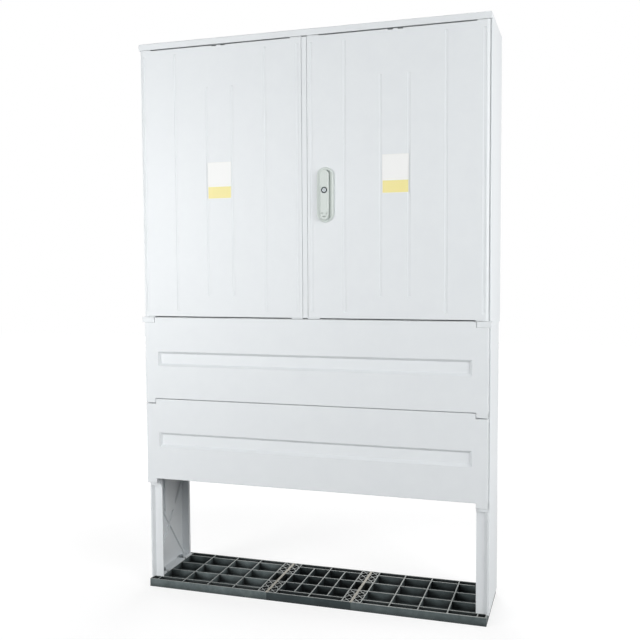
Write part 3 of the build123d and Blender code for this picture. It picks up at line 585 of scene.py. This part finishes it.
@dataclass(frozen=True)
class PrintedFilm:
    """Vinyl film, printed in two plain fields and laminated.

    It gives the eye a crisp white field above a pale yellow one, a hairline of bare film round them and a
    soft gloss.
    """

    name: str
    low_mm: float
    high_mm: float
    left_mm: float
    right_mm: float
    band_mm: float = 37.5
    margin_mm: float = 1.6
    white: str = "#ECEDEC"
    yellow: str = "#EBE098"
    bare: str = "#E6E7E5"
    age_mm: float = 30.0
    age_share: float = 0.05
    roughness_low: float = 0.46
    roughness_high: float = 0.54
    ior: float = 1.5

    def build(self) -> bpy.types.Material:
        """Makes the material."""
        material, tree, coords = blank_material(self.name)
        place = add(tree, "ShaderNodeSeparateXYZ", {"Vector": coords})
        above = add(
            tree,
            "ShaderNodeMath",
            {0: place.outputs["Z"], 1: (self.low_mm + self.band_mm) * MM},
            operation="GREATER_THAN",
        )
        printed = add(
            tree,
            "ShaderNodeMix",
            {"Factor": above.outputs["Value"], "A": linear(self.yellow), "B": linear(self.white)},
            data_type="RGBA",
        )
        middle_x = (self.left_mm + self.right_mm) / 2
        middle_z = (self.low_mm + self.high_mm) / 2
        reach_x = (self.right_mm - self.left_mm) / 2 - self.margin_mm
        reach_z = (self.high_mm - self.low_mm) / 2 - self.margin_mm
        across = add(
            tree,
            "ShaderNodeMath",
            {0: place.outputs["X"], 1: middle_x * MM, 2: reach_x * MM},
            operation="COMPARE",
        )
        upright = add(
            tree,
            "ShaderNodeMath",
            {0: place.outputs["Z"], 1: middle_z * MM, 2: reach_z * MM},
            operation="COMPARE",
        )
        inside = add(
            tree,
            "ShaderNodeMath",
            {0: across.outputs["Value"], 1: upright.outputs["Value"]},
            operation="MULTIPLY",
        )
        framed = add(
            tree,
            "ShaderNodeMix",
            {"Factor": inside.outputs["Value"], "A": linear(self.bare), "B": printed.outputs[2]},
            data_type="RGBA",
        )
        age = add(
            tree, "ShaderNodeTexNoise", {"Vector": coords, "Scale": per_metre(self.age_mm), "Detail": 1.0}
        )
        faded = add(
            tree,
            "ShaderNodeMapRange",
            {"Value": age.outputs["Fac"], "From Min": 0.2, "From Max": 0.9, "To Max": self.age_share},
        )
        colour = add(
            tree,
            "ShaderNodeMix",
            {"Factor": faded.outputs["Result"], "A": framed.outputs[2], "B": linear(self.bare)},
            data_type="RGBA",
        )
        gloss = add(
            tree,
            "ShaderNodeMapRange",
            {"Value": age.outputs["Fac"], "To Min": self.roughness_low, "To Max": self.roughness_high},
        )
        close_material(
            tree,
            {"Base Color": colour.outputs[2], "Roughness": gloss.outputs["Result"], "IOR": self.ior},
        )
        return material


@dataclass(frozen=True)
class FoamRubber:
    """Cellular rubber, extruded with a skin.

    It gives the eye a dull near-black cord with a fine pitted surface.
    """

    name: str = "cellular_rubber"
    tone: str = "#232526"
    worn: str = "#3A3D3E"
    pit_mm: float = 1.6
    pit_depth_mm: float = 0.4
    patch_mm: float = 25.0
    roughness_low: float = 0.7
    roughness_high: float = 0.9

    def build(self) -> bpy.types.Material:
        """Makes the material."""
        material, tree, coords = blank_material(self.name)
        pits = add(tree, "ShaderNodeTexVoronoi", {"Vector": coords, "Scale": per_metre(self.pit_mm)})
        patch = add(
            tree, "ShaderNodeTexNoise", {"Vector": coords, "Scale": per_metre(self.patch_mm), "Detail": 3.0}
        )
        colour = add(
            tree,
            "ShaderNodeMix",
            {"Factor": patch.outputs["Fac"], "A": linear(self.tone), "B": linear(self.worn)},
            data_type="RGBA",
        )
        skin = add(
            tree,
            "ShaderNodeBump",
            {"Height": pits.outputs["Distance"], "Strength": 0.3, "Distance": self.pit_depth_mm * MM},
        )
        gloss = add(
            tree,
            "ShaderNodeMapRange",
            {"Value": patch.outputs["Fac"], "To Min": self.roughness_low, "To Max": self.roughness_high},
        )
        close_material(
            tree,
            {
                "Base Color": colour.outputs[2],
                "Roughness": gloss.outputs["Result"],
                "Normal": skin.outputs["Normal"],
            },
        )
        return material


def give_finish(nodes: list[str], material: bpy.types.Material) -> None:
    """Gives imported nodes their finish.

    Args:
        nodes: Names of the nodes.
        material: Finish that they take.
    """
    for name in nodes:
        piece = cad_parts[name]
        if not piece.material_slots:
            piece.data.materials.append(material)
        for slot in piece.material_slots:
            slot.material = material
        log.info("dressed %s with %s", name, material.name)


def link_mesh(name: str, shape: bmesh.types.BMesh, material: bpy.types.Material) -> bpy.types.Object:
    """Turns a finished bmesh into an object of the scene.

    Args:
        name: Name of the object and its mesh.
        shape: Its mesh, in place, which is freed.
        material: Its finish.

    Returns:
        The new object.
    """
    mesh = bpy.data.meshes.new(name)
    shape.to_mesh(mesh)
    shape.free()
    mesh.materials.append(material)
    piece = bpy.data.objects.new(name, mesh)
    bpy.context.scene.collection.objects.link(piece)
    return piece


def rounded_bar(low: Vector, high: Vector, round_mm: float, steps: int) -> bmesh.types.BMesh:
    """Makes a bar with rounded edges between two corners.

    Args:
        low: Lowest corner.
        high: Highest corner.
        round_mm: Rounding of its edges.
        steps: Steps of the rounding.

    Returns:
        The bar's mesh.
    """
    shape = bmesh.new()
    bmesh.ops.create_cube(shape, size=1.0)
    bmesh.ops.scale(shape, vec=high - low, verts=shape.verts)
    bmesh.ops.translate(shape, vec=(low + high) / 2, verts=shape.verts)
    bmesh.ops.bevel(
        shape,
        geom=shape.edges[:],
        offset=round_mm * MM,
        offset_type="OFFSET",
        segments=steps,
        profile=0.5,
        affect="EDGES",
        material=-1,
    )
    bmesh.ops.recalc_face_normals(shape, faces=shape.faces)
    return shape


@dataclass
class Carcass:
    """Roof, walls and floor frame of the cabinet, with the plate and seals inside."""

    shell: bpy.types.Material
    steel: bpy.types.Material
    zinc: bpy.types.Material
    nylon: bpy.types.Material
    rubber: bpy.types.Material
    seal_width_mm: float = 12.0
    seal_thickness_mm: float = 1.7
    seal_inset_mm: float = 2.0
    seal_end_mm: float = 6.0
    seal_round_mm: float = 0.8
    seal_round_steps: int = 3
    stop_gap_mm: float = 2.0  # from the closed door's back to the stop flange

    def dress(self) -> None:
        """Finishes the carcass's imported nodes."""
        give_finish(["roof", "left_side_wall", "right_side_wall", "back_wall", "floor_frame"], self.shell)
        give_finish(["back_wall_screws", "plate_screws", "roof_screws"], self.steel)
        give_finish(["frame_bolts", "frame_nuts"], self.steel)
        give_finish(["mounting_plate"], self.zinc)
        give_finish(["plate_spacers"], self.nylon)

    def build_seals(self) -> None:
        """Lays a foam seal on each side wall's stop flange, where the closed door meets it."""
        for side in ("left", "right"):
            low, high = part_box(f"{side}_side_wall")
            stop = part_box(f"{side}_door_panel")[1].y + self.stop_gap_mm * MM
            inner = low.x if side == "right" else high.x
            outward = 1.0 if side == "right" else -1.0
            start = inner + outward * self.seal_inset_mm * MM
            end = start + outward * self.seal_width_mm * MM
            bar = rounded_bar(
                Vector((min(start, end), stop - self.seal_thickness_mm * MM, low.z + self.seal_end_mm * MM)),
                Vector((max(start, end), stop, high.z - self.seal_end_mm * MM)),
                self.seal_round_mm,
                self.seal_round_steps,
            )
            seal = link_mesh(f"{side}_door_seal", bar, self.rubber)
            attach(seal, "frame")
            log.info("built %s, %d faces", seal.name, len(seal.data.polygons))


@dataclass
class Doors:
    """The two leaves with their hinge pins, stickers and left bolts."""

    shell: bpy.types.Material
    steel: bpy.types.Material
    nylon: bpy.types.Material

    def dress(self) -> None:
        """Finishes the doors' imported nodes."""
        give_finish(["left_door_panel", "right_door_panel", "closing_strip"], self.shell)
        give_finish(["left_hinge_pins", "right_hinge_pins", "left_upper_bolt", "left_lower_bolt"], self.steel)
        give_finish(["left_bolt_guides"], self.nylon)

    def dress_stickers(self) -> None:
        """Finishes both blank stickers as printed film."""
        for side in ("left", "right"):
            low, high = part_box(f"{side}_door_label")
            film = PrintedFilm(f"{side}_printed_film", low.z / MM, high.z / MM, low.x / MM, high.x / MM)
            give_finish([f"{side}_door_label"], film.build())


@dataclass
class HandleAndLock:
    """Escutcheon, swing lever, lock cylinder, rods and their case."""

    nylon: bpy.types.Material
    guide: bpy.types.Material
    plug: bpy.types.Material
    ring: bpy.types.Material
    steel: bpy.types.Material
    case: bpy.types.Material

    def dress(self) -> None:
        """Finishes the handle's and the lock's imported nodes."""
        give_finish(["handle_escutcheon", "lever_hub", "lever"], self.nylon)
        give_finish(["lock_plug"], self.plug)
        give_finish(["lock_cylinder"], self.ring)
        give_finish(["lever_pin", "lock_spindle", "pinion"], self.steel)
        give_finish(["upper_rod", "lower_rod", "handle_screws"], self.steel)
        give_finish(["lock_case"], self.case)
        give_finish(["rod_guides"], self.guide)


@dataclass
class Plinth:
    """Plinth walls, covers and the cable rail."""

    shell: bpy.types.Material
    steel: bpy.types.Material
    zinc: bpy.types.Material

    def dress(self) -> None:
        """Finishes the plinth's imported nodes."""
        covers = [f"{level}_{side}_cover" for level in ("upper", "lower") for side in ("front", "rear")]
        give_finish(["plinth_left_wall", "plinth_right_wall", *covers], self.shell)
        give_finish(["front_cover_screws", "rear_cover_screws", "rail_bolts", "rail_nuts"], self.steel)
        give_finish(["cable_rail"], self.zinc)


@dataclass
class Base:
    """The three gratings that the cabinet stands on, each from its own batch of plastic."""

    steel: bpy.types.Material
    # dark, grey and painted top highlight tone of each batch
    left_tones: tuple[str, str, str] = ("#535D5E", "#798485", "#999D9B")
    middle_tones: tuple[str, str, str] = ("#222B2D", "#364143", "#999E9C")
    right_tones: tuple[str, str, str] = ("#454F50", "#646E6F", "#A6AAA7")

    def dress(self) -> None:
        """Finishes the base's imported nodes."""
        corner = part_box("base_grate_middle")[1]
        batches = {"left": self.left_tones, "middle": self.middle_tones, "right": self.right_tones}
        for place, tones in batches.items():
            plastic = RecycledPlastic(f"recycled_plastic_{place}", *tones, corner.z / MM, corner.x / MM)
            give_finish([f"base_grate_{place}"], plastic.build())
        give_finish(["base_bolts"], self.steel)


@dataclass(frozen=True)
class Softbox:
    """A square soft lamp: where it hangs and its side in metres, and its power in watts."""

    name: str
    place: Point
    side: float
    power: float


@dataclass
class Studio:
    """White sweep, soft lamps and the camera, in metres and radians."""

    image_px: float = 640.0
    focal_px: float = 861.63
    shift_px: float = 17.02
    sensor_mm: float = 36.0
    far_clip: float = 100.0
    eye: Point = (0.81861, -2.65524, 1.06798)
    yaw: float = 0.3178
    pitch: float = -0.0641
    roll: float = -0.0070
    floor_half: float = 9.0
    floor_steps: int = 12
    floor_drop: float = 0.0006
    paper: str = "#9C9C9C"
    white: str = "#FFFFFF"
    glow_near: float = 0.8
    glow_far: float = 2.6
    glow_low: float = 0.73
    aim: Point = (0.0, 0.0, 0.95)
    softboxes: tuple[Softbox, ...] = (
        Softbox("left_far_softbox", (-2.7, -4.0, 1.9), 2.6, 44.0),
        Softbox("front_softbox", (-0.6, -3.3, 1.35), 1.2, 4.5),
        Softbox("left_near_softbox", (-2.0, -2.5, 1.2), 1.2, 49.0),
        Softbox("right_front_softbox", (2.8, -1.6, 1.4), 1.2, 49.0),
        Softbox("right_side_softbox", (2.6, 0.3, 1.3), 1.2, 17.0),
        Softbox("right_high_softbox", (2.6, -2.6, 3.6), 1.6, 33.0),
        Softbox("back_softbox", (-0.7, 3.4, 0.9), 1.2, 55.0),
        Softbox("left_back_softbox", (-3.2, 1.5, 0.9), 1.2, 28.0),
        Softbox("roof_softbox", (-0.2, 1.3, 4.4), 1.0, 36.0),
    )

    @staticmethod
    def backdrop_rays(tree: bpy.types.NodeTree) -> bpy.types.NodeSocket:
        """Tells the rays that see the white backdrop from those that would light the object with it.

        Args:
            tree: Node tree of the floor's material or of the world.

        Returns:
            One for a ray from the camera, off a gloss or through a clear piece, and zero for any other.
        """
        path = add(tree, "ShaderNodeLightPath")
        seen = path.outputs["Is Camera Ray"]
        for kind in ("Is Glossy Ray", "Is Transmission Ray"):
            either = add(tree, "ShaderNodeMath", {0: seen, 1: path.outputs[kind]}, operation="MAXIMUM")
            seen = either.outputs["Value"]
        return seen

    def build_floor(self) -> None:
        """Lays a pale floor that reads as white and keeps the shadow."""
        shape = bmesh.new()
        bmesh.ops.create_grid(
            shape, x_segments=self.floor_steps, y_segments=self.floor_steps, size=self.floor_half
        )
        bmesh.ops.translate(shape, vec=(0.0, 0.0, -self.floor_drop), verts=shape.verts)
        material, tree, coords = blank_material("white_paper_sweep")
        reach = add(tree, "ShaderNodeVectorMath", {0: coords}, operation="LENGTH")
        fade = add(
            tree,
            "ShaderNodeMapRange",
            {
                "Value": reach.outputs["Value"],
                "From Min": self.glow_near,
                "From Max": self.glow_far,
                "To Min": self.glow_low,
            },
            interpolation_type="SMOOTHSTEP",
        )
        share = add(
            tree,
            "ShaderNodeMath",
            {0: self.backdrop_rays(tree), 1: fade.outputs["Result"]},
            operation="MULTIPLY",
        )
        paper = add(tree, "ShaderNodeBsdfDiffuse", {"Color": linear(self.paper)})
        glow = add(
            tree, "ShaderNodeEmission", {"Color": linear(self.white), "Strength": share.outputs["Value"]}
        )
        mixed = add(tree, "ShaderNodeAddShader", {0: paper.outputs["BSDF"], 1: glow.outputs["Emission"]})
        add(tree, "ShaderNodeOutputMaterial", {"Surface": mixed.outputs["Shader"]})
        floor = link_mesh("studio_floor", shape, material)

    def build_world(self) -> None:
        """Surrounds the object with white that the camera and the gloss see, and that lights nothing else."""
        world = bpy.data.worlds.new("studio_world")
        bpy.context.scene.world = world
        world.use_nodes = True
        tree = world.node_tree
        tree.nodes.clear()
        glow = add(
            tree, "ShaderNodeBackground", {"Color": linear(self.white), "Strength": self.backdrop_rays(tree)}
        )
        add(tree, "ShaderNodeOutputWorld", {"Surface": glow.outputs["Background"]})

    def build_lamps(self) -> None:
        """Hangs the soft lamps and aims them at the cabinet."""
        for softbox in self.softboxes:
            lamp = bpy.data.lights.new(softbox.name, "AREA")
            lamp.shape = "SQUARE"
            lamp.size = softbox.side
            lamp.energy = softbox.power
            stand = bpy.data.objects.new(softbox.name, lamp)
            stand.location = softbox.place
            sight = Vector(self.aim) - Vector(softbox.place)
            stand.rotation_euler = sight.to_track_quat("-Z", "Y").to_euler()
            bpy.context.scene.collection.objects.link(stand)

    def build_camera(self) -> None:
        """Sets the camera at the photograph's view."""
        forward = Vector(
            (
                -math.sin(self.yaw) * math.cos(self.pitch),
                math.cos(self.yaw) * math.cos(self.pitch),
                math.sin(self.pitch),
            )
        )
        level = Vector((math.cos(self.yaw), math.sin(self.yaw), 0.0))
        plumb = level.cross(forward)
        right = level * math.cos(self.roll) + plumb * math.sin(self.roll)
        up = plumb * math.cos(self.roll) - level * math.sin(self.roll)
        turn = Matrix((right, up, -forward)).transposed().to_4x4()
        lens = bpy.data.cameras.new("photo_camera")
        lens.sensor_width = self.sensor_mm
        lens.lens = self.focal_px / self.image_px * self.sensor_mm
        lens.shift_x = self.shift_px / self.image_px
        lens.clip_end = self.far_clip
        camera = bpy.data.objects.new("photo_camera", lens)
        camera.matrix_world = Matrix.Translation(Vector(self.eye)) @ turn
        bpy.context.scene.collection.objects.link(camera)
        bpy.context.scene.camera = camera
        bpy.context.scene.view_settings.view_transform = "Standard"


def main() -> None:
    """Builds the finishes, dresses each sub-assembly and sets up the studio."""
    logging.basicConfig(level=logging.INFO)
    shell = PressedPolyester().build()
    handle_nylon = FilledNylon("handle_filled_nylon", "#CBD3CF", "#D9DFDB").build()
    guide_nylon = FilledNylon("guide_filled_nylon", "#2B2D2E", "#3B3E3F").build()
    upright_steel = ZincPlatedSteel("zinc_plated_bar", DrawnAlong.HEIGHT).build()
    lying_steel = ZincPlatedSteel("zinc_plated_fastener", DrawnAlong.DEPTH).build()
    zinc = GalvanisedSheet().build()
    plug_chrome = SatinChrome("satin_chromed_plug", "#A3A8AA", "#777D80").build()
    # painted reflection: the ring's dark metal tone stands in for dark reflections
    dark_reflection_ring_chrome = SatinChrome("ring_chrome_with_painted_dark_reflection", "#3A3E40", "#26292B").build()
    rubber = FoamRubber().build()

    carcass = Carcass(shell, lying_steel, zinc, guide_nylon, rubber)
    carcass.dress()
    carcass.build_seals()
    doors = Doors(shell, upright_steel, guide_nylon)
    doors.dress()
    doors.dress_stickers()
    HandleAndLock(handle_nylon, guide_nylon, plug_chrome, dark_reflection_ring_chrome, upright_steel, zinc).dress()
    Plinth(shell, lying_steel, zinc).dress()
    Base(upright_steel).dress()

    studio = Studio()
    studio.build_floor()
    studio.build_world()
    studio.build_lamps()
    studio.build_camera()


if __name__ == "__main__":
    main()
